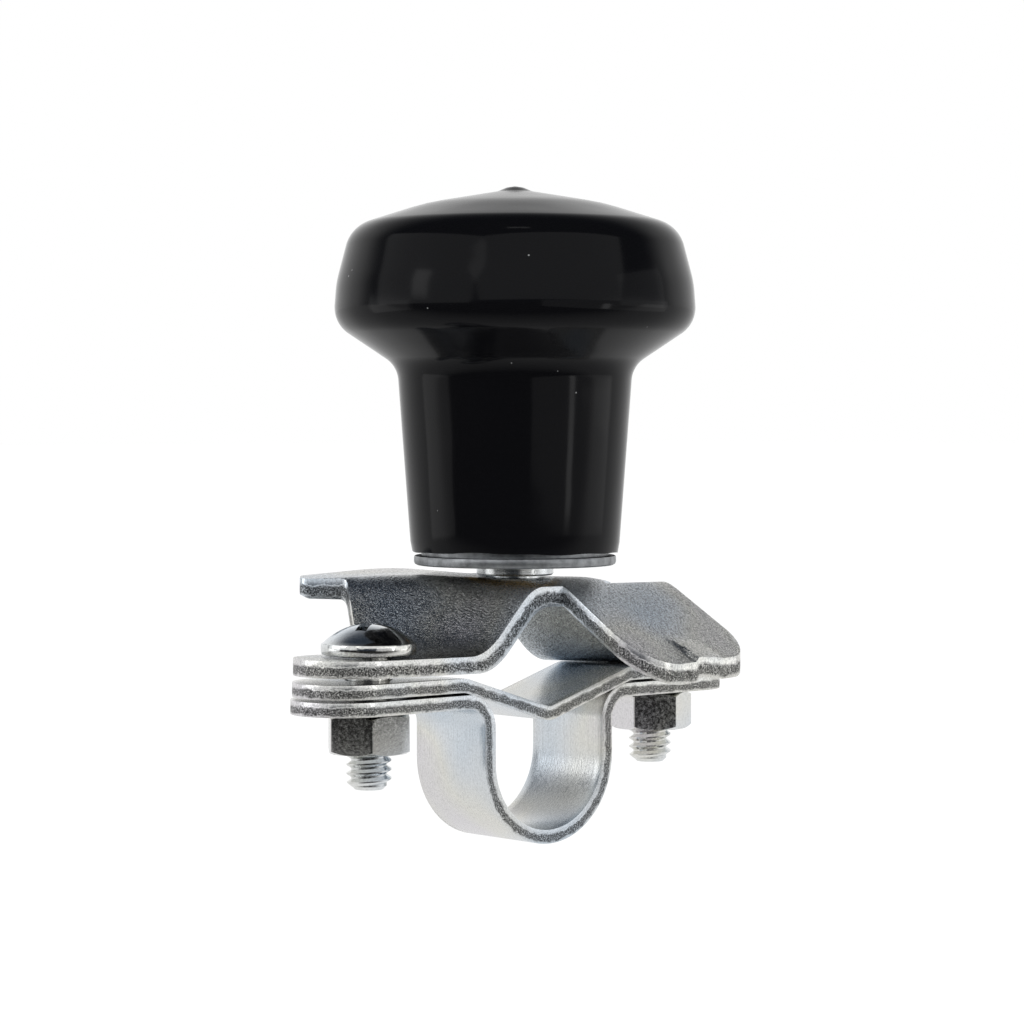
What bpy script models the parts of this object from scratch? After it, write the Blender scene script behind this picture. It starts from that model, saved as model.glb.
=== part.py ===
"""Steering wheel spinner knob with its rim clamp.

Lengths are in millimetres and become metres when a mesh is made. The wheel rim runs along Y
through the U strap, the knob turns about Z, and the origin is the rim's axis in the U.
"""
import math

import bmesh
import bpy
from mathutils import Matrix, Vector

MM = 0.001

# Clearances
TOUCH_GAP = 0.3
RUNNING_GAP = 0.2
STACK_GAP = 0.8

# U strap
RIM_RADIUS = 10.0
STRAP_THICKNESS = 2.0
STRAP_WIDTH = 15.0
STRAP_FLANGE_TOP = 9.4
STRAP_BEND_RADIUS = 4.0
STRAP_END = 39.5

# V plate
VEE_THICKNESS = 1.6
VEE_WIDTH = 15.0
VEE_END = 39.2
VEE_FOLD_X = 16.0
VEE_DEPTH = 3.8
VEE_BEND_RADIUS = 3.0

# Top plate
PLATE_THICKNESS = 2.0
PLATE_HALF_WIDTH = 7.8
PLATE_END = 38.8
PLATE_RISE = 10.7
FOLD_ANGLE = math.radians(37.0)
FOLD_RUN = 7.9
HEAD_ROOM = 0.7
FOLD_ROUNDING = 2.0
TAB_FOLD_Y = -6.5
TAB_ANGLE = math.radians(36.5)
TAB_LEFT_X = 2.3
TAB_RIGHT_X = 24.2
TAB_FRONT_Y = -23.0
TAB_CORNER_RADIUS = 8.0
TAB_SPREAD = 2.7
SLIT_WIDTH = 1.0
SLIT_FRONT_Y = -7.3
SLIT_END_X = 11.5
LIP_REAR_Y = 22.0
LIP_LEFT_X = -25.5
DART_TIP = (14.5, -16.0)
DART_END = (19.6, -23.0)
DART_HALF_WIDTH = 3.2
DART_HEIGHT = 1.0
PLATE_CELL = 1.7

# Screws and nuts, 1/4-20
SCREW_SPACING = 55.0
SCREW_RADIUS = 3.1
SCREW_TIP_Z = -3.0
SCREW_TIP_CHAMFER = 0.7
SCREW_HEAD_RADIUS = 6.7
SCREW_HEAD_HEIGHT = 4.2
SCREW_HEAD_EDGE = 1.5
RECESS_WIDTH = 1.5
RECESS_LENGTH = 7.0
RECESS_DEPTH = 2.2
NUT_ACROSS_FLATS = 11.1
NUT_HEIGHT = 5.5
NUT_CHAMFER = 0.55
NUT_TURNS = {"left_nut": math.radians(24.0), "right_nut": math.radians(-6.0)}

# Spindle and its bearing
SPINDLE_RADIUS = 5.6
SPINDLE_TOP_Z = 61.5
TENON_RADIUS = 4.0
RIVET_RADIUS = 4.9
RIVET_HEIGHT = 1.6
GROOVE_DEPTH = 1.0
BUSH_WALL = 1.5
BUSH_BOTTOM_Z = 28.6
RING_Z = 57.7
RING_THICKNESS = 1.1
RING_OVERLAP = 0.7
BORE_HEADROOM = 1.5

# Knob
KNOB_TOP_Z = 82.5
NUB_RADIUS = 1.3
NUB_HEIGHT = 0.8
DOME_RADIUS = 14.0
DOME_Z = 79.7
SHOULDER_RADIUS = 24.3
SHOULDER_Z = 76.3
HEAD_RADIUS = 26.4
HEAD_BOTTOM_Z = 62.6
NECK_TOP_RADIUS = 17.1
NECK_TOP_Z = 56.4
HEM_RADIUS = 15.1
HEM_Z = 29.3
DIP_THICKNESS = 1.2
CORE_RIM_RADIUS = 14.7
CORE_BOTTOM_Z = 27.6
INNER_START_RADIUS = 4.0

# Faceting
ARC_STEP = math.radians(15.0)
KNOB_SEGMENTS = 48
BORE_SEGMENTS = 32

# Levels worked out from the sizes above
VEE_BOTTOM = STRAP_FLANGE_TOP + STACK_GAP
VEE_TOP = VEE_BOTTOM + VEE_THICKNESS
PLATE_BOTTOM = VEE_TOP + STACK_GAP
PLATE_LOW = PLATE_BOTTOM + PLATE_THICKNESS
PLATE_TOP = PLATE_LOW + PLATE_RISE
SCREW_X = SCREW_SPACING / 2
SCREW_HOLE_RADIUS = SCREW_RADIUS + TOUCH_GAP
BUSH_INNER = SPINDLE_RADIUS + RUNNING_GAP
BUSH_OUTER = BUSH_INNER + BUSH_WALL
CORE_BORE = BUSH_OUTER + RUNNING_GAP
RING_OUTER = CORE_BORE + RING_OVERLAP
GROOVE_RADIUS = SPINDLE_RADIUS - GROOVE_DEPTH

MATERIALS = {
    "vinyl": ((0.006, 0.006, 0.007), 0.12, 0.0),
    "core_metal": ((0.33, 0.33, 0.34), 0.45, 1.0),
    "zinc": ((0.70, 0.72, 0.74), 0.3, 1.0),
    "bronze": ((0.55, 0.38, 0.18), 0.4, 1.0),
    "spring_steel": ((0.16, 0.16, 0.17), 0.35, 1.0),
}


def clear_scene():
    for item in list(bpy.data.objects):
        bpy.data.objects.remove(item, do_unlink=True)


def make_material(name):
    colour, roughness, metallic = MATERIALS[name]
    material = bpy.data.materials.new(name)
    material.use_nodes = True
    shader = material.node_tree.nodes["Principled BSDF"]
    shader.inputs["Base Color"].default_value = (*colour, 1.0)
    shader.inputs["Roughness"].default_value = roughness
    shader.inputs["Metallic"].default_value = metallic
    return material


def add_object(name, mesh_data, material):
    """Turn a bmesh in millimetres into an object in metres."""
    bmesh.ops.scale(mesh_data, vec=(MM, MM, MM), verts=mesh_data.verts)
    bmesh.ops.recalc_face_normals(mesh_data, faces=mesh_data.faces)
    mesh = bpy.data.meshes.new(name)
    mesh_data.to_mesh(mesh)
    mesh_data.free()
    mesh.shade_smooth()
    mesh.set_sharp_from_angle(angle=math.radians(35.0))
    item = bpy.data.objects.new(name, mesh)
    bpy.context.collection.objects.link(item)
    if material:
        mesh.materials.append(material)
    return item


def round_corners(corners, closed=False):
    """Outline through corners (x, y, radius), each corner turned into an arc."""
    count = len(corners)
    points = []
    for index, (x, y, radius) in enumerate(corners):
        here = Vector((x, y))
        if not closed and index in (0, count - 1):
            points.append(here)
            continue
        before = Vector(corners[index - 1][:2]) - here
        after = Vector(corners[(index + 1) % count][:2]) - here
        half = before.angle(after) / 2
        if radius <= 0 or half > math.radians(89.9):
            points.append(here)
            continue
        reach = radius / math.tan(half)
        start = here + before.normalized() * reach
        centre = here + (before.normalized() + after.normalized()).normalized() * radius / math.sin(half)
        turn = math.pi - 2 * half
        side = 1.0 if before.x * after.y - before.y * after.x < 0 else -1.0
        steps = max(1, math.ceil(turn / ARC_STEP))
        for step in range(steps + 1):
            spoke = Matrix.Rotation(side * turn * step / steps, 2) @ (start - centre)
            points.append(centre + spoke)
    tidy = [points[0]]
    for point in points[1:]:
        if (point - tidy[-1]).length > 0.01:
            tidy.append(point)
    if closed and (tidy[0] - tidy[-1]).length < 0.01:
        tidy.pop()
    return tidy


def turned(name, profile, segments, material):
    """Solid of revolution about Z. An open profile starts and ends on the axis."""
    mesh_data = bmesh.new()
    closed = profile[0][0] > 0
    verts = [mesh_data.verts.new((radius, 0, z)) for radius, z in profile]
    pairs = list(zip(verts, verts[1:]))
    if closed:
        pairs.append((verts[-1], verts[0]))
    edges = [mesh_data.edges.new(pair) for pair in pairs]
    bmesh.ops.spin(mesh_data, geom=verts + edges, cent=(0, 0, 0), axis=(0, 0, 1),
                   angle=2 * math.pi, steps=segments, use_merge=True)
    bmesh.ops.remove_doubles(mesh_data, verts=mesh_data.verts, dist=0.001)
    return add_object(name, mesh_data, material)


def cylinder_cutter(name, radius, low, high, x=0.0, y=0.0):
    mesh_data = bmesh.new()
    bmesh.ops.create_cone(mesh_data, cap_ends=True, segments=BORE_SEGMENTS, radius1=radius, radius2=radius,
                          depth=high - low, matrix=Matrix.Translation((x, y, (low + high) / 2)))
    return as_cutter(add_object(name, mesh_data, None))


def box_cutter(name, size, centre, turn=0.0):
    mesh_data = bmesh.new()
    place = Matrix.Translation(centre) @ Matrix.Rotation(turn, 4, "Z") @ Matrix.Diagonal((*size, 1.0))
    bmesh.ops.create_cube(mesh_data, size=1.0, matrix=place)
    return as_cutter(add_object(name, mesh_data, None))


def as_cutter(item):
    item.hide_render = True
    item.display_type = "WIRE"
    return item


def cut(item, cutter, operation="DIFFERENCE"):
    modifier = item.modifiers.new(cutter.name, "BOOLEAN")
    modifier.operation = operation
    modifier.solver = "EXACT"
    modifier.object = cutter


def bent_strip(name, corners, thickness, width, material):
    """Sheet strip bent along corners (x, z, radius) of its middle surface, with full round ends."""
    path = round_corners(corners)
    stations = end_stations(path[0], path[1], width) + path[1:-1]
    stations += list(reversed(end_stations(path[-1], path[-2], width)))
    tip_left, tip_right = path[0], path[-1]
    mesh_data = bmesh.new()
    rings = []
    for index, point in enumerate(stations):
        ahead = stations[min(index + 1, len(stations) - 1)] - point
        behind = point - stations[max(index - 1, 0)]
        tangent = (ahead.normalized() + behind.normalized()).normalized()
        stretch = 1.0 / max(0.7, tangent.dot(ahead.normalized() if ahead.length else tangent))
        normal = Vector((-tangent.y, tangent.x)) * (thickness / 2) * stretch
        from_end = min((point - tip_left).length, (point - tip_right).length)
        half = half_width(from_end, width)
        ring = []
        for side, level in ((-1, 1), (1, 1), (1, -1), (-1, -1)):
            spot = point + normal * level
            ring.append(mesh_data.verts.new((spot.x, side * half, spot.y)))
        rings.append(ring)
    for ring, following in zip(rings, rings[1:]):
        for corner in range(4):
            nearby = (corner + 1) % 4
            mesh_data.faces.new((ring[corner], ring[nearby], following[nearby], following[corner]))
    mesh_data.faces.new(rings[0])
    mesh_data.faces.new(rings[-1])
    return add_object(name, mesh_data, material)


def half_width(from_end, width):
    radius = width / 2
    if from_end >= radius:
        return radius
    return math.sqrt(radius ** 2 - (radius - from_end) ** 2)


def end_stations(tip, inner, width):
    """Stations along a flange whose end is a half circle, from near its tip to the full width."""
    direction = (inner - tip).normalized()
    radius = width / 2
    angles = [math.radians(value) for value in (10, 25, 40, 57, 74, 90)]
    return [tip + direction * radius * (1 - math.cos(angle)) for angle in angles]


def soft_min(first, second):
    blend = max(FOLD_ROUNDING - abs(first - second), 0.0)
    return min(first, second) - blend ** 2 / (4 * FOLD_ROUNDING)


def soft_max(first, second):
    return -soft_min(-first, -second)


def plate_surface(x, y, depth):
    """Height of the top plate's upper side at depth 0, or of its lower side at depth PLATE_THICKNESS."""
    slope = PLATE_RISE / FOLD_RUN
    slope_depth = depth * math.hypot(1.0, slope)
    foot = SCREW_X * math.cos(FOLD_ANGLE) - SCREW_HEAD_RADIUS - HEAD_ROOM
    across = x * math.cos(FOLD_ANGLE) + y * math.sin(FOLD_ANGLE)
    left = PLATE_LOW + (foot + across) * slope - slope_depth
    right = PLATE_LOW + (foot - across) * slope - slope_depth
    tab = PLATE_TOP - math.tan(TAB_ANGLE) * (TAB_FOLD_Y - y) - depth / math.cos(TAB_ANGLE)
    crown = soft_min(PLATE_TOP - depth, tab)
    if x > TAB_LEFT_X - 0.01 and y < SLIT_FRONT_Y + SLIT_WIDTH / 2:
        return crown + dart_height(x, y)
    if y > PLATE_HALF_WIDTH and x < 0:
        right = PLATE_TOP + PLATE_RISE
    crown = soft_min(crown, soft_min(left, right))
    return soft_max(PLATE_LOW - depth, crown)


def dart_height(x, y):
    """Raised dart that widens from its tip to the tab's front edge."""
    tip = Vector(DART_TIP)
    along = Vector(DART_END) - tip
    offset = Vector((x, y)) - tip
    share = offset.dot(along) / along.length_squared
    if share <= 0:
        return 0.0
    across = abs(offset.x * along.y - offset.y * along.x) / along.length
    return DART_HEIGHT * share * max(0.0, 1.0 - across / (DART_HALF_WIDTH * share))


def plate_outline():
    """Outline of the top plate seen from above: two flanges, the front tab and the rear lip."""
    flange_round = PLATE_HALF_WIDTH - 0.05
    slit_rear_y = SLIT_FRONT_Y + SLIT_WIDTH
    return round_corners([
        (-PLATE_END, -PLATE_HALF_WIDTH, flange_round),
        (TAB_LEFT_X, -PLATE_HALF_WIDTH, 0.0),
        (TAB_LEFT_X + TAB_SPREAD, TAB_FRONT_Y, TAB_CORNER_RADIUS),
        (TAB_RIGHT_X + TAB_SPREAD, TAB_FRONT_Y + 1.6, 3.0),
        (TAB_RIGHT_X, SLIT_FRONT_Y, 1.0),
        (SLIT_END_X, SLIT_FRONT_Y, 0.0),
        (SLIT_END_X, slit_rear_y, 0.0),
        (PLATE_END, slit_rear_y, -slit_rear_y - 0.05),
        (PLATE_END, PLATE_HALF_WIDTH, flange_round),
        (-TAB_LEFT_X, PLATE_HALF_WIDTH, 1.0),
        (-TAB_LEFT_X - TAB_SPREAD, LIP_REAR_Y, TAB_CORNER_RADIUS),
        (LIP_LEFT_X, LIP_REAR_Y - 1.5, 2.5),
        (-19.5, 14.8, 1.0),
        (-23.2, PLATE_HALF_WIDTH, 1.0),
        (-PLATE_END, PLATE_HALF_WIDTH, flange_round),
    ], closed=True)


def make_top_plate(material):
    mesh_data = bmesh.new()
    outline = [mesh_data.verts.new((point.x, point.y, 0.0)) for point in plate_outline()]
    mesh_data.faces.new(outline)
    for axis, low, high in ((0, -PLATE_END, PLATE_END), (1, TAB_FRONT_Y, LIP_REAR_Y)):
        cells = round((high - low) / PLATE_CELL)
        for index in range(1, cells):
            point = Vector()
            point[axis] = low + (high - low) * index / cells
            normal = Vector()
            normal[axis] = 1.0
            geometry = mesh_data.verts[:] + mesh_data.edges[:] + mesh_data.faces[:]
            bmesh.ops.bisect_plane(mesh_data, geom=geometry, dist=0.0001, plane_co=point, plane_no=normal)
    upper = mesh_data.faces[:]
    grown = bmesh.ops.extrude_face_region(mesh_data, geom=upper)
    lower = {item for item in grown["geom"] if isinstance(item, bmesh.types.BMVert)}
    for vert in mesh_data.verts:
        depth = PLATE_THICKNESS if vert in lower else 0.0
        vert.co.z = plate_surface(vert.co.x, vert.co.y, depth)
    bmesh.ops.triangulate(mesh_data, faces=mesh_data.faces[:])
    bmesh.ops.dissolve_limit(mesh_data, angle_limit=math.radians(1.0), verts=mesh_data.verts[:],
                             edges=mesh_data.edges[:])
    bmesh.ops.triangulate(mesh_data, faces=mesh_data.faces[:])
    plate = add_object("top_plate", mesh_data, material)
    for side, x in (("left", -SCREW_X), ("right", SCREW_X)):
        cut(plate, cylinder_cutter(f"plate_hole_{side}", SCREW_HOLE_RADIUS, PLATE_BOTTOM - 1, PLATE_TOP, x))
    cut(plate, cylinder_cutter("tenon_hole", TENON_RADIUS + TOUCH_GAP, PLATE_LOW, PLATE_TOP + 1))
    return plate


def make_v_plate(material):
    middle = VEE_BOTTOM + VEE_THICKNESS / 2
    plate = bent_strip("v_plate", [
        (-VEE_END, middle, 0.0),
        (-VEE_FOLD_X, middle, VEE_BEND_RADIUS),
        (0.0, middle - VEE_DEPTH, VEE_BEND_RADIUS),
        (VEE_FOLD_X, middle, VEE_BEND_RADIUS),
        (VEE_END, middle, 0.0),
    ], VEE_THICKNESS, VEE_WIDTH, material)
    for side, x in (("left", -SCREW_X), ("right", SCREW_X)):
        cut(plate, cylinder_cutter(f"vee_hole_{side}", SCREW_HOLE_RADIUS, VEE_BOTTOM - 1, VEE_TOP + 1, x))
    return plate


def make_u_strap(material):
    middle = STRAP_FLANGE_TOP - STRAP_THICKNESS / 2
    wall = RIM_RADIUS + STRAP_THICKNESS / 2
    strap = bent_strip("u_strap", [
        (-STRAP_END, middle, 0.0),
        (-wall, middle, STRAP_BEND_RADIUS),
        (-wall, -wall, wall),
        (wall, -wall, wall),
        (wall, middle, STRAP_BEND_RADIUS),
        (STRAP_END, middle, 0.0),
    ], STRAP_THICKNESS, STRAP_WIDTH, material)
    low = STRAP_FLANGE_TOP - STRAP_THICKNESS - 1
    for side, x in (("left", -SCREW_X), ("right", SCREW_X)):
        cut(strap, cylinder_cutter(f"strap_hole_{side}", SCREW_HOLE_RADIUS, low, STRAP_FLANGE_TOP + 1, x))
    return strap


def make_screw(name, x, material):
    """Truss head screw with a plain shank in place of its thread and a cross recess."""
    seat = PLATE_LOW + TOUCH_GAP
    edge = seat + SCREW_HEAD_EDGE
    dome = SCREW_HEAD_HEIGHT - SCREW_HEAD_EDGE
    sphere = (SCREW_HEAD_RADIUS ** 2 + dome ** 2) / (2 * dome)
    profile = [(0.0, SCREW_TIP_Z), (SCREW_RADIUS - SCREW_TIP_CHAMFER, SCREW_TIP_Z),
               (SCREW_RADIUS, SCREW_TIP_Z + SCREW_TIP_CHAMFER), (SCREW_RADIUS, seat),
               (SCREW_HEAD_RADIUS - 0.4, seat), (SCREW_HEAD_RADIUS, seat + 0.4), (SCREW_HEAD_RADIUS, edge)]
    steps = 5
    for step in range(1, steps + 1):
        radius = SCREW_HEAD_RADIUS * (1 - step / steps)
        profile.append((radius, edge + dome - sphere + math.sqrt(sphere ** 2 - radius ** 2)))
    screw = turned(name, profile, BORE_SEGMENTS, material)
    screw.location.x = x * MM
    top = edge + dome
    for index, turn in enumerate((math.radians(20.0), math.radians(110.0))):
        size = (RECESS_LENGTH, RECESS_WIDTH, 2 * RECESS_DEPTH)
        cut(screw, box_cutter(f"{name}_recess_{index}", size, (x, 0.0, top), turn))
    return screw


def make_nut(name, x, material):
    """Hex nut chamfered at both ends, bored to clear the shank."""
    top = STRAP_FLANGE_TOP - STRAP_THICKNESS - TOUCH_GAP
    bottom = top - NUT_HEIGHT
    corner = NUT_ACROSS_FLATS / 2 / math.cos(math.pi / 6)
    mesh_data = bmesh.new()
    place = Matrix.Translation((0, 0, (top + bottom) / 2)) @ Matrix.Rotation(NUT_TURNS[name], 4, "Z")
    bmesh.ops.create_cone(mesh_data, cap_ends=True, segments=6, radius1=corner, radius2=corner,
                          depth=NUT_HEIGHT, matrix=place)
    nut = add_object(name, mesh_data, material)
    nut.location.x = x * MM
    end_radius = corner - 1.7 * NUT_CHAMFER
    rounded = turned(f"{name}_chamfer", [
        (0.0, bottom - 0.01), (end_radius, bottom - 0.01), (corner + 0.1, bottom + NUT_CHAMFER),
        (corner + 0.1, top - NUT_CHAMFER), (end_radius, top + 0.01), (0.0, top + 0.01),
    ], BORE_SEGMENTS, None)
    rounded.location.x = x * MM
    cut(nut, as_cutter(rounded), "INTERSECT")
    cut(nut, cylinder_cutter(f"{name}_bore", SCREW_HOLE_RADIUS, bottom - 1, top + 1, x))
    return nut


def knob_profile():
    """Outer profile of the dipped knob, from its nub to the hem."""
    return round_corners([
        (0.0, KNOB_TOP_Z, 0.0),
        (NUB_RADIUS, KNOB_TOP_Z - 0.25, 0.5),
        (2 * NUB_RADIUS, KNOB_TOP_Z - NUB_HEIGHT, 1.5),
        (DOME_RADIUS, DOME_Z, 30.0),
        (SHOULDER_RADIUS, SHOULDER_Z, 5.0),
        (HEAD_RADIUS, HEAD_BOTTOM_Z, 4.5),
        (NECK_TOP_RADIUS, NECK_TOP_Z, 4.0),
        (HEM_RADIUS, HEM_Z, 0.0),
    ])


def inset_profile(points, distance):
    """Profile at a distance inside the outer one, ended on the axis under the nub."""
    inner = []
    for index, point in enumerate(points):
        ahead = points[min(index + 1, len(points) - 1)]
        behind = points[max(index - 1, 0)]
        tangent = (ahead - behind).normalized()
        shifted = point + Vector((tangent.y, -tangent.x)) * distance
        if shifted.x > INNER_START_RADIUS:
            inner.append((shifted.x, min(shifted.y, KNOB_TOP_Z)))
    return [(0.0, inner[0][1])] + inner


def make_knob_cover(material):
    outer = knob_profile()
    inner = inset_profile(outer, DIP_THICKNESS)
    inner[-1] = (inner[-1][0], HEM_Z)
    profile = [(point.x, point.y) for point in outer] + list(reversed(inner))
    return turned("knob_cover", profile, KNOB_SEGMENTS, material)


def make_knob_core(material):
    """Turned knob body with a rim below the hem, a bearing bore and a chamber for the ring."""
    outer = inset_profile(knob_profile(), DIP_THICKNESS + TOUCH_GAP)
    rim_top = HEM_Z - TOUCH_GAP
    outer[-1] = (outer[-1][0], rim_top)
    step = RING_Z - TOUCH_GAP
    chamber = RING_OUTER + TOUCH_GAP
    roof = SPINDLE_TOP_Z + BORE_HEADROOM
    profile = outer + [
        (CORE_RIM_RADIUS, rim_top), (CORE_RIM_RADIUS, CORE_BOTTOM_Z + 0.4),
        (CORE_RIM_RADIUS - 0.4, CORE_BOTTOM_Z), (CORE_BORE, CORE_BOTTOM_Z),
        (CORE_BORE, step), (chamber, step), (chamber, roof), (0.0, roof),
    ]
    return turned("knob_core", profile, KNOB_SEGMENTS, material)


def make_spindle(material):
    """Turned post: rivet head, tenon through the plate, shoulder, bearing length and ring groove."""
    plate_under = PLATE_TOP - PLATE_THICKNESS - TOUCH_GAP
    shoulder = PLATE_TOP + TOUCH_GAP
    groove_low = RING_Z - TOUCH_GAP
    groove_high = RING_Z + RING_THICKNESS + TOUCH_GAP
    profile = [
        (0.0, plate_under - RIVET_HEIGHT), (RIVET_RADIUS - 0.8, plate_under - RIVET_HEIGHT),
        (RIVET_RADIUS, plate_under - 0.5), (RIVET_RADIUS, plate_under), (TENON_RADIUS, plate_under),
        (TENON_RADIUS, shoulder), (SPINDLE_RADIUS, shoulder), (SPINDLE_RADIUS, groove_low),
        (GROOVE_RADIUS, groove_low), (GROOVE_RADIUS, groove_high), (SPINDLE_RADIUS, groove_high),
        (SPINDLE_RADIUS, SPINDLE_TOP_Z - 0.8), (SPINDLE_RADIUS - 0.8, SPINDLE_TOP_Z), (0.0, SPINDLE_TOP_Z),
    ]
    return turned("spindle", profile, BORE_SEGMENTS, material)


def make_spindle_bush(material):
    top = RING_Z - TOUCH_GAP
    profile = [(BUSH_INNER, BUSH_BOTTOM_Z), (BUSH_OUTER, BUSH_BOTTOM_Z), (BUSH_OUTER, top), (BUSH_INNER, top)]
    return turned("spindle_bush", profile, BORE_SEGMENTS, material)


def make_retaining_ring(material):
    """Snap ring in the spindle's groove, its outer edge over the core's step."""
    inner = GROOVE_RADIUS + RUNNING_GAP
    high = RING_Z + RING_THICKNESS
    ring = turned("retaining_ring", [(inner, RING_Z), (RING_OUTER, RING_Z), (RING_OUTER, high), (inner, high)],
                  BORE_SEGMENTS, material)
    split = RING_OUTER - inner
    size = (split + 2, 1.5, RING_THICKNESS + 2)
    cut(ring, box_cutter("ring_split", size, ((inner + RING_OUTER) / 2, 0.0, RING_Z + RING_THICKNESS / 2)))
    return ring


def main():
    clear_scene()
    materials = {name: make_material(name) for name in MATERIALS}
    make_u_strap(materials["zinc"])
    make_v_plate(materials["zinc"])
    make_top_plate(materials["zinc"])
    for side, x in (("left", -SCREW_X), ("right", SCREW_X)):
        make_screw(f"{side}_screw", x, materials["zinc"])
        make_nut(f"{side}_nut", x, materials["zinc"])
    make_spindle(materials["zinc"])
    make_spindle_bush(materials["bronze"])
    make_retaining_ring(materials["spring_steel"])
    make_knob_core(materials["core_metal"])
    make_knob_cover(materials["vinyl"])


main()
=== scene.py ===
"""Finished looks of a steering wheel spinner knob: vinyl dip, zinc plated sheets, threads and studio.

Lengths are given in millimetres here and in the functions, and become metres when a mesh is made.
"""
import math
from types import SimpleNamespace

import bmesh
import bpy
from bpy.props import FloatProperty, FloatVectorProperty, IntProperty, PointerProperty
from mathutils import Matrix, Vector


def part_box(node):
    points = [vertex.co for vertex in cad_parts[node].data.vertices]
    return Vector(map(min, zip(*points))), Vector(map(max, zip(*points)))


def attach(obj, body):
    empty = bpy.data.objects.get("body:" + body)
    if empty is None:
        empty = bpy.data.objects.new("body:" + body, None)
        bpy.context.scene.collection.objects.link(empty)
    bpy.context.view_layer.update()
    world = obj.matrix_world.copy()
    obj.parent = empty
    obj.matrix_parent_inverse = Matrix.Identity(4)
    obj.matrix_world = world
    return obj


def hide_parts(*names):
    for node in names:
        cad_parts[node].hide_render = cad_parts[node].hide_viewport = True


bl_info = {
    "name": "Spinner knob finishes",
    "version": (1, 0, 0),
    "blender": (4, 5, 0),
    "location": "View3D > Sidebar > Spinner",
    "description": "Dresses a spinner knob's packed solids with modelled surfaces and finishes",
    "category": "Object",
}

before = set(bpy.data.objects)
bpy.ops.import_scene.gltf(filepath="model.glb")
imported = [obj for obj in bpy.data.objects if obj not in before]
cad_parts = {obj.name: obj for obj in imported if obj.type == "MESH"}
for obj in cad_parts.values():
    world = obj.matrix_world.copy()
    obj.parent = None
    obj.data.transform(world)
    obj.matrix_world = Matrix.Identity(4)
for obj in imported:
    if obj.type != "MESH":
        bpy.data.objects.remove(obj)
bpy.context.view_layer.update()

MM = 0.001
SMOOTH_ANGLE = math.radians(35.0)
ARC_STEP = math.radians(5.0)
STRAIGHT_HALF = math.radians(89.9)
SAME_POINT = 0.01

# Clearances and small sizes of the turned pieces
GAP = 0.3
RUNNING_GAP = 0.2
HOLE_ROOM = 0.25
BORE_HEADROOM = 1.5
NUB_SLOPE = 0.25
HEM_REACH = 3.0
TENON_RADIUS = 4.0
RIVET_RADIUS = 4.9
RIVET_HEIGHT = 1.6
GROOVE_DEPTH = 1.0
RECESS_SIZE = (7.4, 1.6, 4.2)
RECESS_TURNS = (33.0, 123.0)
NUT_TURNS = {"left": 24.0, "right": -6.0}
TURNED_SEGMENTS = 96
HEAD_LIFT = 0.35
THREAD_STEPS = 48
THREAD_CREST = 0.16
THREAD_ROOT = 0.9

# Camera and floor
FRAME_PIXELS = 1024.0
SENSOR_WIDTH = 36.0
FLOOR_HALF_SIZE = 6000.0
FLOOR_GAP = 0.8

# Height in metres that the lamps face
LAMP_TARGET = 0.04
# Name, turn and rise in degrees, width and height in metres, brightness, distance in metres
LAMPS = (
    ("left_soft_box", -61.0, 21.0, 0.84, 0.46, 0.9, 0.6),
    ("left_low_box", -83.0, 1.0, 0.12, 0.09, 0.9, 0.2),
    ("upper_right_box", 24.0, 28.0, 1.24, 0.40, 0.9, 0.6),
    ("right_soft_box", 88.0, 6.0, 0.42, 0.34, 0.5, 0.6),
    ("right_low_box", 62.0, 1.0, 0.41, 0.09, 0.55, 0.2),
    ("left_lamp", -62.0, 18.0, 0.12, 0.16, 2.0, 0.6),
    ("right_lamp", 56.0, -3.0, 0.02, 0.05, 2.5, 0.2),
    ("top_lamp", 4.0, 62.0, 0.10, 0.04, 2.0, 0.6),
)


def span(node):
    """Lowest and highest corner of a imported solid, in millimetres."""
    low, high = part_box(node)
    return low / MM, high / MM


COVER_LOW, COVER_HIGH = span("knob_cover")
CORE_LOW = span("knob_core")[0]
SPINDLE_LOW, SPINDLE_HIGH = span("spindle")
PLATE_LOW, PLATE_HIGH = span("top_plate")
VEE_LOW, VEE_HIGH = span("v_plate")
STRAP_LOW, STRAP_HIGH = span("u_strap")
SCREW_LOW, SCREW_HIGH = span("left_screw")
NUT_LOW, NUT_HIGH = span("left_nut")


def length(name, description, millimetres, low=0.0):
    """Property for a length, given here in millimetres and kept in metres."""
    return FloatProperty(name=name, description=description, default=millimetres * MM, min=low * MM,
                         precision=5, unit="LENGTH")


def angle(name, description, degrees):
    return FloatProperty(name=name, description=description, default=math.radians(degrees), subtype="ANGLE")


def share(name, description, default):
    return FloatProperty(name=name, description=description, default=default, min=0.0, max=1.0,
                         subtype="FACTOR")


def colour(name, description, default):
    return FloatVectorProperty(name=name, description=description, default=default, size=3, min=0.0, max=1.0,
                               subtype="COLOR")


def pixels(name, description, default):
    return FloatProperty(name=name, description=description, default=default, subtype="PIXEL")


def in_millimetres(settings):
    """Settings of a property group as plain values, with the lengths in millimetres."""
    values = {}
    for key in settings.__annotations__:
        value = getattr(settings, key)
        values[key] = value / MM if settings.bl_rna.properties[key].unit == "LENGTH" else value
    return SimpleNamespace(**values)


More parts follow.
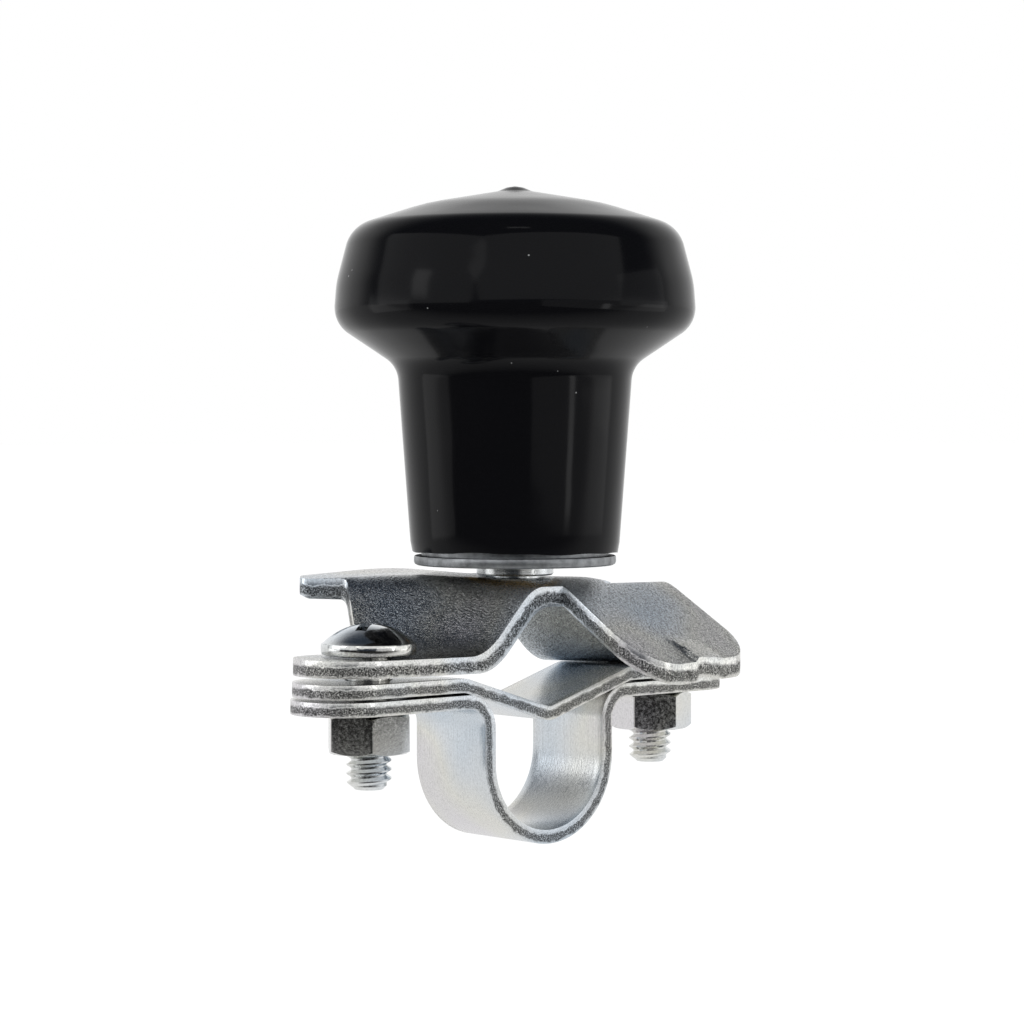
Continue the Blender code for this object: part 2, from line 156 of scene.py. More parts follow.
class SpinnerKnobSizes(bpy.types.PropertyGroup):
    """Sizes of the dipped knob."""

    top: length("Top", "Height of the nub's tip", COVER_HIGH.z)
    hem: length("Hem", "Height of the dip's lower edge", COVER_LOW.z)
    nub_radius: length("Nub radius", "Radius of the nub at its tip", 1.3)
    nub_height: length("Nub height", "Height of the nub over the dome", 0.8)
    dome_radius: length("Dome radius", "Radius where the dome steepens", 13.3)
    dome_height: length("Dome height", "Height where the dome steepens", 79.85)
    shoulder_radius: length("Shoulder radius", "Radius of the shoulder", 23.8)
    shoulder_height: length("Shoulder height", "Height of the shoulder", 76.5)
    belly_radius: length("Belly radius", "Radius halfway down the head", 25.9)
    belly_height: length("Belly height", "Height halfway down the head", 68.5)
    head_radius: length("Head radius", "Radius at the head's lower corner", 26.35)
    head_bottom: length("Head bottom", "Height of the head's lower corner", 62.6)
    neck_radius: length("Neck radius", "Radius at the top of the neck", 17.1)
    neck_top: length("Neck top", "Height of the top of the neck", 56.4)
    hem_radius: length("Hem radius", "Radius at the dip's lower edge", 15.1)
    dip: length("Dip thickness", "Thickness of the vinyl skin", 1.2)
    hem_wave: length("Hem wave", "How far the hem wanders up and down", 0.28)
    rim_radius: length("Rim radius", "Radius of the bare rim below the hem", 14.7)
    segments: IntProperty(name="Segments", description="Faces around the knob", default=160, min=24,
                          subtype="UNSIGNED")


class SpinnerClampSizes(bpy.types.PropertyGroup):
    """Sizes of the clamp's sheets, screws and nuts."""

    plate_tilt: share("Plate tilt", "Rise of the top plate to the left per unit length", 0.014)
    stack_lift: length("Stack lift", "How much the flanges stand over the plain solids", 0.5)
    strap_thickness: length("Strap thickness", "Thickness of the U strap", 2.0)
    rim_radius: length("Rim radius", "Inner radius of the U", 10.4)
    strap_bend: length("Strap bend", "Bend radius at the U's flanges", 4.0)
    vee_thickness: length("V thickness", "Thickness of the V plate", 2.0)
    vee_fold: length("V fold", "Distance from the middle to the V's folds", 16.0)
    vee_depth: length("V depth", "Depth of the V below its flanges", 5.0)
    vee_bend: length("V bend", "Bend radius of the V plate", 3.0)
    plate_thickness: length("Plate thickness", "Thickness of the top plate", 2.4)
    plate_half_width: length("Plate half width", "Half width of its flanges", 7.8)
    plate_rise: length("Plate rise", "Height of the crown over the flanges", 10.7)
    fold_angle: angle("Fold angle", "Turn of the side folds from the rim's direction", 37.0)
    fold_run: length("Fold run", "Plan width of a side fold", 7.9)
    fold_rounding: length("Fold rounding", "Softness of the folds at the crown", 2.2)
    foot_rounding: length("Foot rounding", "Softness of the folds at the flanges", 3.2)
    rear_rise: share("Rear rise", "Rise of the crown to the rear per unit length", 0.035)
    tab_fold: length("Tab fold", "Place of the front tab's fold", -6.5, -50.0)
    tab_angle: angle("Tab angle", "Slope of the front tab", 36.5)
    cell: length("Cell", "Spacing of the plate's mesh", 0.7, 0.2)
    edge_round: length("Edge round", "Rounding of sheared edges", 0.18)
    screw_x: length("Screw place", "Distance from the middle to each screw", 27.5)
    thread_radius: length("Thread radius", "Outer radius of the thread", 3.15)
    root_radius: length("Root radius", "Radius at the thread's root", 2.5)
    pitch: length("Pitch", "Pitch of the thread", 1.27)
    head_edge: length("Head edge", "Height of the screw head's straight edge", 1.7)
    dome_rise: length("Dome rise", "Height of the screw head's dome", 2.7)
    across_flats: length("Across flats", "Width of the nuts", 11.1)
    nut_chamfer: length("Nut chamfer", "Chamfer of the nuts", 0.55)


class SpinnerFinishes(bpy.types.PropertyGroup):
    """Colours and finish values."""

    vinyl: colour("Vinyl", "Colour of the dip", (0.0035, 0.0035, 0.0042))
    vinyl_roughness: share("Vinyl roughness", "Roughness of the dip", 0.09)
    vinyl_specular: share("Vinyl reflection", "Strength of the dip's reflections", 0.10)
    zinc_cool: colour("Cool zinc", "Zinc plate where it looks blue", (0.62, 0.69, 0.76))
    zinc_plain: colour("Plain zinc", "Zinc plate where it looks neutral", (0.71, 0.74, 0.765))
    zinc_warm: colour("Warm zinc", "Zinc plate where it looks straw coloured", (0.77, 0.765, 0.72))
    zinc_rose: colour("Rose zinc", "Zinc plate where it looks pink", (0.75, 0.735, 0.75))
    core: colour("Core", "Bare metal of the knob body", (0.30, 0.31, 0.32))
    bronze: colour("Bronze", "Bearing bronze", (0.55, 0.38, 0.18))
    steel: colour("Spring steel", "Oiled spring steel", (0.16, 0.16, 0.17))
    floor: colour("Floor", "Colour of the floor", (0.92, 0.92, 0.92))


class SpinnerStage(bpy.types.PropertyGroup):
    """Camera placement and lens."""

    distance: length("Camera distance", "From the camera to the knob's axis", 455.0)
    azimuth: angle("Camera azimuth", "Turn of the view from the rim's direction", 42.0)
    camera_height: length("Camera height", "Above the rim's axis", 48.6)
    focal_pixels: pixels("Focal length", "In pixels of a 1024 pixel wide frame", 3130.0)
    horizon_row: pixels("Horizon row", "Pixel row of the horizon", 420.0)
    axis_column: pixels("Axis column", "Pixel column of the knob's axis", 515.0)


# Mesh helpers


def round_corners(corners, closed=False):
    """Outline through corners (x, y, radius), each corner turned into an arc."""
    count = len(corners)
    points = []
    for index, (x, y, radius) in enumerate(corners):
        here = Vector((x, y))
        if not closed and index in (0, count - 1):
            points.append(here)
            continue
        before = Vector(corners[index - 1][:2]) - here
        after = Vector(corners[(index + 1) % count][:2]) - here
        half = before.angle(after) / 2
        if radius <= 0 or half > STRAIGHT_HALF:
            points.append(here)
            continue
        reach = radius / math.tan(half)
        start = here + before.normalized() * reach
        centre = here + (before.normalized() + after.normalized()).normalized() * radius / math.sin(half)
        turn = math.pi - 2 * half
        side = 1.0 if before.x * after.y - before.y * after.x < 0 else -1.0
        steps = max(2, math.ceil(turn / ARC_STEP))
        for step in range(steps + 1):
            spoke = Matrix.Rotation(side * turn * step / steps, 2) @ (start - centre)
            points.append(centre + spoke)
    tidy = [points[0]]
    for point in points[1:]:
        if (point - tidy[-1]).length > SAME_POINT:
            tidy.append(point)
    if closed and (tidy[0] - tidy[-1]).length < SAME_POINT:
        tidy.pop()
    return tidy


def subdivide_profile(points, longest):
    """Profile with extra points on stretches longer than a length."""
    fine = [points[0]]
    for before, after in zip(points, points[1:]):
        parts = max(1, math.ceil((after - before).length / longest))
        fine.extend(before.lerp(after, part / parts) for part in range(1, parts + 1))
    return fine


def spin_profile(mesh_data, profile, segments, x=0.0):
    """Add a turned solid about a vertical axis at x. An open profile starts and ends on the axis."""
    verts = [mesh_data.verts.new((x + radius, 0, z)) for radius, z in profile]
    pairs = list(zip(verts, verts[1:]))
    if profile[0][0] > 0:
        pairs.append((verts[-1], verts[0]))
    edges = [mesh_data.edges.new(pair) for pair in pairs]
    bmesh.ops.spin(mesh_data, geom=verts + edges, cent=(x, 0, 0), axis=(0, 0, 1), angle=2 * math.pi,
                   steps=segments, use_merge=True)
    bmesh.ops.remove_doubles(mesh_data, verts=mesh_data.verts, dist=0.0005)


def to_object(mesh_data, name, materials=()):
    """Turn a bmesh in millimetres into a smooth object in metres at the origin."""
    bmesh.ops.scale(mesh_data, vec=(MM, MM, MM), verts=mesh_data.verts)
    bmesh.ops.recalc_face_normals(mesh_data, faces=mesh_data.faces)
    mesh = bpy.data.meshes.new(name)
    mesh_data.to_mesh(mesh)
    mesh_data.free()
    for material in materials:
        mesh.materials.append(material)
    mesh.shade_smooth()
    mesh.set_sharp_from_angle(angle=SMOOTH_ANGLE)
    item = bpy.data.objects.new(name, mesh)
    bpy.context.scene.collection.objects.link(item)
    return item


def apply_cuts(item, cutters, operation="DIFFERENCE"):
    """Cut an object with others, keep the result as its mesh and remove the cutters."""
    for cutter in cutters:
        modifier = item.modifiers.new(cutter.name, "BOOLEAN")
        modifier.operation = operation
        modifier.object = cutter
    graph = bpy.context.evaluated_depsgraph_get()
    cut_mesh = bpy.data.meshes.new_from_object(item.evaluated_get(graph))
    item.modifiers.clear()
    old_mesh = item.data
    item.data = cut_mesh
    cut_mesh.name = item.name
    bpy.data.meshes.remove(old_mesh)
    item.data.set_sharp_from_angle(angle=SMOOTH_ANGLE)
    for cutter in cutters:
        cutter_mesh = cutter.data
        bpy.data.objects.remove(cutter)
        bpy.data.meshes.remove(cutter_mesh)


def cylinder(name, radius, low, high, x=0.0, segments=64):
    mesh_data = bmesh.new()
    bmesh.ops.create_cone(mesh_data, cap_ends=True, segments=segments, radius1=radius, radius2=radius,
                          depth=high - low, matrix=Matrix.Translation((x, 0, (low + high) / 2)))
    return to_object(mesh_data, name)


def block(name, size, centre, turn):
    mesh_data = bmesh.new()
    place = Matrix.Translation(centre) @ Matrix.Rotation(turn, 4, "Z") @ Matrix.Diagonal((*size, 1.0))
    bmesh.ops.create_cube(mesh_data, size=1.0, matrix=place)
    return to_object(mesh_data, name)


def stand_for(item, node, body):
    """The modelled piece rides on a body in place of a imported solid."""
    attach(item, body)
    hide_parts(node)


def thicken_sheet(mesh_data, place, edge_round):
    """Give a flat sheet its two sides with place(x, y, through) and round its sheared edges.

    The attribute 'through' runs from 0 on the upper side to 1 on the lower side, and the sheared
    faces take the second material.
    """
    through = mesh_data.verts.layers.float.new("through")
    grown = bmesh.ops.extrude_face_region(mesh_data, geom=mesh_data.faces[:])
    lower = {item for item in grown["geom"] if isinstance(item, bmesh.types.BMVert)}
    for vert in mesh_data.verts:
        vert[through] = 1.0 if vert in lower else 0.0
    sheared = [face for face in mesh_data.faces
               if len({vert in lower for vert in face.verts}) == 2]
    for face in sheared:
        face.material_index = 1
    for vert in mesh_data.verts:
        vert.co = place(vert.co.x, vert.co.y, vert[through])
    mesh_data.normal_update()
    sheared_set = set(sheared)
    rims = [edge for edge in mesh_data.edges
            if len(edge.link_faces) == 2 and (edge.link_faces[0] in sheared_set)
            != (edge.link_faces[1] in sheared_set)]
    bmesh.ops.bevel(mesh_data, geom=rims, offset=edge_round, segments=2, profile=0.5, affect="EDGES",
                    material=-1, clamp_overlap=True)


def bend_strip(name, corners, thickness, width, edge_round, materials):
    """Sheet strip bent along corners (x, z, radius) of its middle, with full round ends."""
    path = subdivide_profile(round_corners(corners), 1.5)
    radius = width / 2
    end_angles = [math.radians(4 + 86 * step / 14) for step in range(15)]
    ends = [radius * (1 - math.cos(value)) for value in end_angles]
    left = [path[0] + Vector((distance, 0)) for distance in ends]
    right = [path[-1] - Vector((distance, 0)) for distance in reversed(ends)]
    middle = [point for point in path if left[-1].x + 0.3 < point.x < right[0].x - 0.3]
    stations = left + middle + right
    halves = [radius * math.sin(value) for value in end_angles]
    halves = halves + [radius] * len(middle) + list(reversed(halves))
    normals = []
    for index in range(len(stations)):
        ahead = stations[min(index + 1, len(stations) - 1)]
        behind = stations[max(index - 1, 0)]
        tangent = (ahead - behind).normalized()
        normals.append(Vector((-tangent.y, tangent.x)))
    across = 10
    mesh_data = bmesh.new()
    bmesh.ops.create_grid(mesh_data, x_segments=len(stations) - 1, y_segments=across, size=1.0)
    for vert in mesh_data.verts:
        vert.co.x = round((vert.co.x + 1) / 2 * (len(stations) - 1))

    def place(index, side, through):
        station = round(index)
        spot = stations[station] + normals[station] * thickness * (0.5 - through)
        return Vector((spot.x, side * halves[station], spot.y))

    thicken_sheet(mesh_data, place, edge_round)
    return to_object(mesh_data, name, materials)


# Material helpers


def new_material(name):
    material = bpy.data.materials.new(name)
    material.use_nodes = True
    return material, material.node_tree, material.node_tree.nodes["Principled BSDF"]


def fill_inputs(tree, node, values):
    """Link each input that is given a socket, and set the others."""
    for key, value in values.items():
        if isinstance(value, bpy.types.NodeSocket):
            tree.links.new(value, node.inputs[key])
        else:
            node.inputs[key].default_value = value


def add_node(tree, kind, values=None, **settings):
    node = tree.nodes.new("ShaderNode" + kind)
    for key, value in settings.items():
        setattr(node, key, value)
    fill_inputs(tree, node, values or {})
    return node


def object_place(tree):
    return add_node(tree, "TexCoord").outputs["Object"]


def noise(tree, place, scale, detail, roughness):
    values = {"Vector": place, "Scale": scale, "Detail": detail, "Roughness": roughness}
    return add_node(tree, "TexNoise", values).outputs["Fac"]


def ramp(tree, factor, stops):
    """Colour ramp through stops, each (place, grey or colour)."""
    node = add_node(tree, "ValToRGB", {"Fac": factor})
    elements = node.color_ramp.elements
    while len(elements) < len(stops):
        elements.new(0.5)
    for element, (place, value) in zip(elements, stops):
        element.position = place
        shade = (value, value, value) if isinstance(value, float) else tuple(value)
        element.color = (*shade, 1.0)
    return node.outputs["Color"]


def maths(tree, operation, *values, clamp=False):
    return add_node(tree, "Math", dict(enumerate(values)), operation=operation, use_clamp=clamp).outputs[0]


def map_range(tree, value, low, high, interpolation="LINEAR"):
    """Map the value from one (in, out) pair to the other."""
    values = {"Value": value, "From Min": low[0], "From Max": high[0], "To Min": low[1], "To Max": high[1]}
    return add_node(tree, "MapRange", values, interpolation_type=interpolation).outputs[0]


def mix_colours(tree, factor, first, second, blend="MULTIPLY"):
    values = {"Factor": factor, "A": first, "B": second}
    return add_node(tree, "Mix", values, data_type="RGBA", blend_type=blend).outputs["Result"]


def relief(tree, height, strength, distance):
    values = {"Height": height, "Strength": strength, "Distance": distance}
    return add_node(tree, "Bump", values).outputs["Normal"]


def plating_group(finishes):
    """Zinc plating: drifting tints, fine grain and rolling scratches."""
    group = bpy.data.node_groups.new("Zinc plating", "ShaderNodeTree")
    for name, kind, default in (("Scratch Scale", "NodeSocketVector", (2500.0, 2500.0, 60.0)),
                                ("Grain", "NodeSocketFloat", 1.0),
                                ("Base Roughness", "NodeSocketFloat", 0.24)):
        socket = group.interface.new_socket(name=name, in_out="INPUT", socket_type=kind)
        socket.default_value = default
    for name, kind in (("Colour", "Color"), ("Roughness", "Float"), ("Height", "Float")):
        group.interface.new_socket(name=name, in_out="OUTPUT", socket_type="NodeSocket" + kind)
    given = group.nodes.new("NodeGroupInput").outputs
    place = object_place(group)
    drift = noise(group, place, 70.0, 1.0, 0.4)
    tint = ramp(group, drift, [(0.30, finishes.zinc_cool), (0.45, finishes.zinc_plain),
                               (0.58, finishes.zinc_warm), (0.72, finishes.zinc_rose)])
    grain = noise(group, place, 3600.0, 2.0, 0.7)
    stretched = add_node(group, "VectorMath", {0: place, 1: given["Scratch Scale"]}, operation="MULTIPLY")
    scratch = noise(group, stretched.outputs[0], 1.0, 3.0, 0.65)
    swing = map_range(group, scratch, (0.3, -0.06), (0.7, 0.10))
    pits = ramp(group, grain, [(0.36, 0.35), (0.50, 0.85), (0.64, 1.0)])
    lines = ramp(group, scratch, [(0.32, 0.80), (0.52, 1.0)])
    pitted = mix_colours(group, maths(group, "MULTIPLY", given["Grain"], 0.4, clamp=True), tint, pits)
    fill_inputs(group, group.nodes.new("NodeGroupOutput"), {
        "Colour": mix_colours(group, 0.6, pitted, lines),
        "Roughness": maths(group, "ADD", swing, given["Base Roughness"], clamp=True),
        "Height": maths(group, "MULTIPLY_ADD", grain, given["Grain"], scratch)})
    return group


def place_plating(tree, group, scratch_scale, grain, roughness):
    values = {"Scratch Scale": scratch_scale, "Grain": grain, "Base Roughness": roughness}
    return add_node(tree, "Group", values, node_tree=group).outputs


def zinc_material(name, group, scratch_scale, grain, roughness, bump):
    material, tree, shader = new_material(name)
    plating = place_plating(tree, group, scratch_scale, grain, roughness)
    fill_inputs(tree, shader, {
        "Base Color": plating["Colour"], "Roughness": plating["Roughness"], "Metallic": 1.0,
        "Normal": relief(tree, plating["Height"], bump, 0.00004)})
    return material


def sheared_material(name, group):
    """Cut edge of a sheet: plain plating at the rolled corner and at the burr, and between them a rougher
    torn band whose dark colour is partly the fracture's own grey and partly painted shade for a dark
    reflection, with painted glints as bright grains.
    """
    material, tree, shader = new_material(name)
    plating = place_plating(tree, group, (900.0, 900.0, 900.0), 1.0, 0.30)
    through = add_node(tree, "Attribute", attribute_name="through").outputs["Fac"]
    place = object_place(tree)
    wander = maths(tree, "MULTIPLY_ADD", noise(tree, place, 700.0, 3.0, 0.7), 0.5, -0.25)
    # The torn band is really rougher and bumpier, and it is also painted dark as shade that stands for a dark
    # reflection.
    torn_band_and_painted_shade = ramp(tree, maths(tree, "ADD", through, wander), [
        (0.26, 0.0), (0.40, 1.0), (0.80, 1.0), (0.92, 0.0)])
    grains = noise(tree, place, 5200.0, 2.0, 0.6)
    # Painted shade with painted glints: near black grains with bright specks that stand for glints, laid over
    # the torn band.
    torn_grey_with_painted_shade_and_glints = ramp(tree, grains, [(0.38, 0.06), (0.52, 0.28), (0.64, 1.0)])
    fill_inputs(tree, shader, {
        "Base Color": mix_colours(tree, torn_band_and_painted_shade, plating["Colour"], torn_grey_with_painted_shade_and_glints),
        "Roughness": map_range(tree, torn_band_and_painted_shade, (0.0, 0.24), (1.0, 0.42)), "Metallic": 1.0,
        "Normal": relief(tree, maths(tree, "MULTIPLY", torn_band_and_painted_shade, grains), 0.9, 0.00012)})
    return material


def vinyl_material(name, finishes):
    """Glossy dip with a faint flow in its surface and a few pale specks of dust."""
    material, tree, shader = new_material(name)
    place = object_place(tree)
    flow = noise(tree, place, 60.0, 2.0, 0.4)
    specks = add_node(tree, "TexVoronoi", {"Vector": place, "Scale": 330.0, "Randomness": 1.0}).outputs
    near = ramp(tree, specks["Distance"], [(0.030, 1.0), (0.055, 0.0)])
    chosen = add_node(tree, "SeparateColor", {"Color": specks["Color"]}).outputs["Red"]
    dust = maths(tree, "MULTIPLY", near, maths(tree, "GREATER_THAN", chosen, 0.86))
    gloss = finishes.vinyl_roughness
    fill_inputs(tree, shader, {
        "Base Color": mix_colours(tree, dust, (*finishes.vinyl, 1.0), (0.30, 0.30, 0.30, 1.0), "MIX"),
        "Roughness": map_range(tree, flow, (0.3, gloss), (0.7, gloss + 0.05)),
        "Normal": relief(tree, flow, 0.35, 0.0006), "Specular IOR Level": finishes.vinyl_specular})
    return material


def worn_metal(name, base, roughness):
    """Plain machined or cast metal with stains and fine pits."""
    material, tree, shader = new_material(name)
    stain = noise(tree, object_place(tree), 500.0, 5.0, 0.65)
    tone = ramp(tree, stain, [(0.30, [value * 0.55 for value in base]),
                              (0.70, [min(1.0, value * 1.35) for value in base])])
    fill_inputs(tree, shader, {"Base Color": tone, "Roughness": roughness, "Metallic": 1.0,
                               "Normal": relief(tree, stain, 0.5, 0.00005)})
    return material


def finish(name):
    """A finished material by name, made on first use."""
    existing = bpy.data.materials.get(name)
    if existing:
        return existing
    finishes = bpy.context.scene.spinner_finishes
    if name == "dipped vinyl":
        return vinyl_material(name, finishes)
    worn = {"core metal": (finishes.core, 0.42), "bearing bronze": (finishes.bronze, 0.38),
            "oiled spring steel": (finishes.steel, 0.3)}
    if name in worn:
        return worn_metal(name, *worn[name])
    group = bpy.data.node_groups.get("Zinc plating") or plating_group(finishes)
    if name == "sheared zinc":
        return sheared_material(name, group)
    # Scratch scale, grain, roughness and bump
    settings = {
        "plate zinc": ((1600.0, 700.0, 700.0), 2.6, 0.20, 1.0),
        "strap zinc": ((4200.0, 4200.0, 90.0), 0.5, 0.22, 0.5),
        "screw zinc": ((2400.0, 2400.0, 2400.0), 0.4, 0.10, 0.14),
        "spindle zinc": ((60.0, 60.0, 5200.0), 0.5, 0.2, 0.4),
    }
    return zinc_material(name, group, *settings[name])


# Knob


def knob_profile(sizes):
    """Outer profile of the dip, from the nub's tip down to the hem."""
    return round_corners([
        (0.0, sizes.top, 0.0),
        (sizes.nub_radius, sizes.top - NUB_SLOPE, 0.5),
        (2 * sizes.nub_radius, sizes.top - sizes.nub_height, 1.5),
        (sizes.dome_radius, sizes.dome_height, 30.0),
        (sizes.shoulder_radius, sizes.shoulder_height, 5.0),
        (sizes.belly_radius, sizes.belly_height, 14.0),
        (sizes.head_radius, sizes.head_bottom, 4.5),
        (sizes.neck_radius, sizes.neck_top, 4.0),
        (sizes.hem_radius, sizes.hem, 0.0),
    ])


def inset_profile(points, distance):
    """Profile inside another one, ended on the axis under the nub."""
    inner = []
    for index, point in enumerate(points):
        ahead = points[min(index + 1, len(points) - 1)]
        behind = points[max(index - 1, 0)]
        tangent = (ahead - behind).normalized()
        shifted = point + Vector((tangent.y, -tangent.x)) * distance
        if shifted.x > 4.0:
            inner.append((shifted.x, shifted.y))
    return [(0.0, inner[0][1])] + inner


def hem_lift(turn, depth):
    """Height by which the hem wanders at an angle around the knob."""
    return depth * (0.5 * math.sin(2 * turn + 0.6) + 0.3 * math.sin(5 * turn + 2.1)
                    + 0.2 * math.sin(11 * turn))


class SPINNER_OT_knob_cover(bpy.types.Operator):
    """Model the vinyl dip with its nub, its wandering hem and a rolled lower edge"""

    bl_idname = "spinner.knob_cover"
    bl_label = "Knob cover"

    def execute(self, context):
        sizes = in_millimetres(context.scene.spinner_knob)
        outer = subdivide_profile(knob_profile(sizes), 1.6)
        inner = inset_profile(outer, sizes.dip)
        outer[-1] = Vector((outer[-1].x - 0.15, outer[-1].y + 0.02))
        low = [(outer[-1].x - 0.3 * sizes.dip, sizes.hem), (inner[-1][0] + 0.2, sizes.hem + 0.1)]
        profile = [(point.x, point.y) for point in outer] + low + list(reversed(inner[:-1]))
        mesh_data = bmesh.new()
        spin_profile(mesh_data, profile, sizes.segments)
        for vert in mesh_data.verts:
            near = max(0.0, 1.0 - (vert.co.z - sizes.hem) / HEM_REACH)
            if near > 0 and vert.co.xy.length > 1.0:
                turn = math.atan2(vert.co.y, vert.co.x)
                vert.co.z += near * (sizes.hem_wave + hem_lift(turn, sizes.hem_wave))
        item = to_object(mesh_data, "vinyl_dip", [finish("dipped vinyl")])
        stand_for(item, "knob_cover", "knob")
        return {"FINISHED"}


class SPINNER_OT_knob_core(bpy.types.Operator):
    """Model the knob body, whose bare rim shows below the hem"""

    bl_idname = "spinner.knob_core"
    bl_label = "Knob core"

    def execute(self, context):
        sizes = in_millimetres(context.scene.spinner_knob)
        outer = inset_profile(knob_profile(sizes), sizes.dip + GAP)
        ring_low, ring_high = span("retaining_ring")
        bore = span("spindle_bush")[1].x + RUNNING_GAP
        step = ring_low.z - GAP
        chamber = ring_high.x + GAP
        roof = SPINDLE_HIGH.z + BORE_HEADROOM
        rim_top = sizes.hem - GAP
        outer[-1] = (outer[-1][0], rim_top)
        profile = outer + [
            (sizes.rim_radius - 0.3, rim_top), (sizes.rim_radius - 0.08, rim_top - 0.08),
            (sizes.rim_radius, rim_top - 0.3), (sizes.rim_radius, CORE_LOW.z + 0.5),
            (sizes.rim_radius - 0.12, CORE_LOW.z + 0.18), (sizes.rim_radius - 0.45, CORE_LOW.z),
            (bore, CORE_LOW.z), (bore, step), (chamber, step), (chamber, roof), (0.0, roof)]
        mesh_data = bmesh.new()
        spin_profile(mesh_data, profile, sizes.segments)
        item = to_object(mesh_data, "knob_body", [finish("core metal")])
        stand_for(item, "knob_core", "knob")
        return {"FINISHED"}


class SPINNER_OT_bearing(bpy.types.Operator):
    """Finish the hidden bush and retaining ring"""

    bl_idname = "spinner.bearing"
    bl_label = "Bearing"

    def execute(self, context):
        for node, name in (("spindle_bush", "bearing bronze"), ("retaining_ring", "oiled spring steel")):
            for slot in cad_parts[node].material_slots:
                slot.material = finish(name)
        return {"FINISHED"}


# Clamp


class SPINNER_OT_spindle(bpy.types.Operator):
    """Model the turned spindle with its rivet head, groove and tooling marks"""

    bl_idname = "spinner.spindle"
    bl_label = "Spindle"

    def execute(self, context):
        sizes = in_millimetres(context.scene.spinner_clamp)
        ring_low, ring_high = span("retaining_ring")
        radius = SPINDLE_HIGH.x
        shoulder = PLATE_HIGH.z + sizes.stack_lift + GAP
        under = shoulder - 2 * GAP - sizes.plate_thickness
        groove = radius - GROOVE_DEPTH
        low, high = ring_low.z - GAP, ring_high.z + GAP
        profile = [(0.0, SPINDLE_LOW.z)]
        for step in range(1, 9):
            turn = math.pi / 2 * step / 8
            dome = RIVET_HEIGHT * (0.25 + 0.75 * math.cos(turn))
            profile.append((RIVET_RADIUS * math.sin(turn) ** 0.5, under - dome))
        profile += [
            (RIVET_RADIUS, under), (TENON_RADIUS, under), (TENON_RADIUS, shoulder), (radius - 0.25, shoulder),
            (radius, shoulder + 0.25), (radius, low), (groove, low), (groove, high), (radius, high),
            (radius, SPINDLE_HIGH.z - 0.8), (radius - 0.8, SPINDLE_HIGH.z), (0.0, SPINDLE_HIGH.z)]
        mesh_data = bmesh.new()
        spin_profile(mesh_data, profile, TURNED_SEGMENTS)
        item = to_object(mesh_data, "turned_spindle", [finish("spindle zinc")])
        stand_for(item, "spindle", "clamp")
        return {"FINISHED"}


def soft_min(first, second, rounding):
    blend = max(rounding - abs(first - second), 0.0)
    return min(first, second) - blend ** 2 / (4 * rounding)


# Details of the top plate, seen from above
DART_TIP = Vector((12.7, -17.9))
DART_END = Vector((15.4, -23.1))
DART_WIDTH = 5.2
DART_HEIGHT = 0.65
DART_STEP = 0.5
DART_REACH = 2.0
SLIT_FRONT = -7.3
SLIT_WIDTH = 1.0
SLIT_END = 11.5
TAB_LEFT = 2.3
TAB_RIGHT = 24.2
TAB_SPREAD = 2.7
TAB_FRONT = -23.0
LIP_REAR = 22.0
LIP_START = 14.0
LIP_LEVELLING = 1.1
LIP_FALL = 0.06
LIP_BEND = 6.0
LIP_EASE = 7.0
HEAD_RADIUS = 6.7
HEAD_ROOM = 0.7


def dart_place(x, y):
    """Share of the way along the dart, and distance to the right of its cut side."""
    along = DART_END - DART_TIP
    offset = Vector((x, y)) - DART_TIP
    part = offset.dot(along) / along.length_squared
    return part, (offset.y * along.x - offset.x * along.y) / along.length


def dart_height(x, y):
    """Lanced dart: a cut step along its left side, from where it falls away to a crease on the right."""
    part, right = dart_place(x, y)
    if part <= 0 or right <= 0:
        return 0.0
    reach = min(1.0, right / (DART_WIDTH * min(part, 1.0) ** 0.35))
    return DART_HEIGHT * min(1.5 * part, 1.0) * min(1.0, right / DART_STEP) * (1.0 - reach ** 2)


def plate_surface(sizes, x, y, depth):
    """Height of the top plate's upper side at depth 0, or of a surface that deep inside it."""
    top = PLATE_HIGH.z + sizes.stack_lift - x * sizes.plate_tilt
    low = top - sizes.plate_rise
    on_lip = min(1.0, max(0.0, y - sizes.plate_half_width) / LIP_EASE)
    top += max(0.0, y) * sizes.rear_rise - LIP_FALL * max(0.0, -x - LIP_BEND) * on_lip
    slope = sizes.plate_rise / sizes.fold_run
    slope_depth = depth * math.hypot(1.0, slope)
    foot = sizes.screw_x * math.cos(sizes.fold_angle) - HEAD_RADIUS - HEAD_ROOM
    across = x * math.cos(sizes.fold_angle) + y * math.sin(sizes.fold_angle)
    left = low + (foot + across) * slope - slope_depth
    right = low + (foot - across) * slope - slope_depth
    tab = top - math.tan(sizes.tab_angle) * (sizes.tab_fold - y) - depth / math.cos(sizes.tab_angle)
    rounding = sizes.fold_rounding
    crown = soft_min(top - depth, tab, rounding)
    if x > TAB_LEFT - 0.01 and y < SLIT_FRONT + SLIT_WIDTH / 2:
        return crown + dart_height(x, y)
    if y > sizes.plate_half_width and x < 0:
        right = top + sizes.plate_rise
        left += max(0.0, y - LIP_START) * LIP_LEVELLING
    crown = soft_min(crown, soft_min(left, right, rounding), rounding)
    return -soft_min(depth - low, -crown, sizes.foot_rounding)


